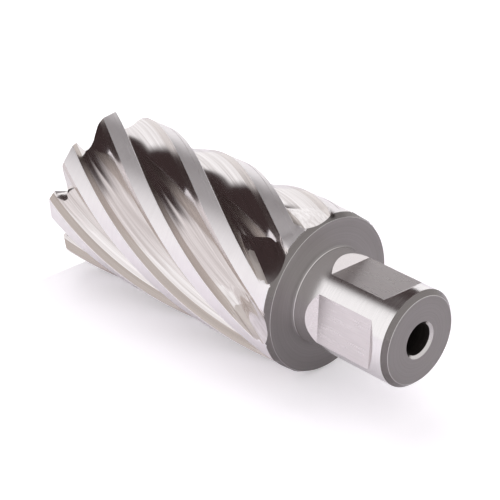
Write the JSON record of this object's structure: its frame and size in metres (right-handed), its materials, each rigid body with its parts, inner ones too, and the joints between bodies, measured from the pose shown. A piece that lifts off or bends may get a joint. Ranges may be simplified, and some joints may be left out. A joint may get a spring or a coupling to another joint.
{
  "type": "annular cutter",
  "caption": "Hollow fluted steel cutter with a ring of helical teeth, a flange and a round shank with two driving flats and a pilot-pin bore.",
  "frame": {"origin": "on the tool axis in the plane of the tooth tips, at the bottom centre of the standing cutter", "axes": "+Z along the tool axis from the teeth to the shank end; one driving flat faces +X, the other -Y"},
  "size_m": [0.032, 0.032, 0.0857],
  "materials": {
    "steel": "ground high-speed steel, turned satin on the flange and the shank end"
  },
  "bodies": {
    "root": {"annular_cutter": "steel"}
  },
  "joints": []
}
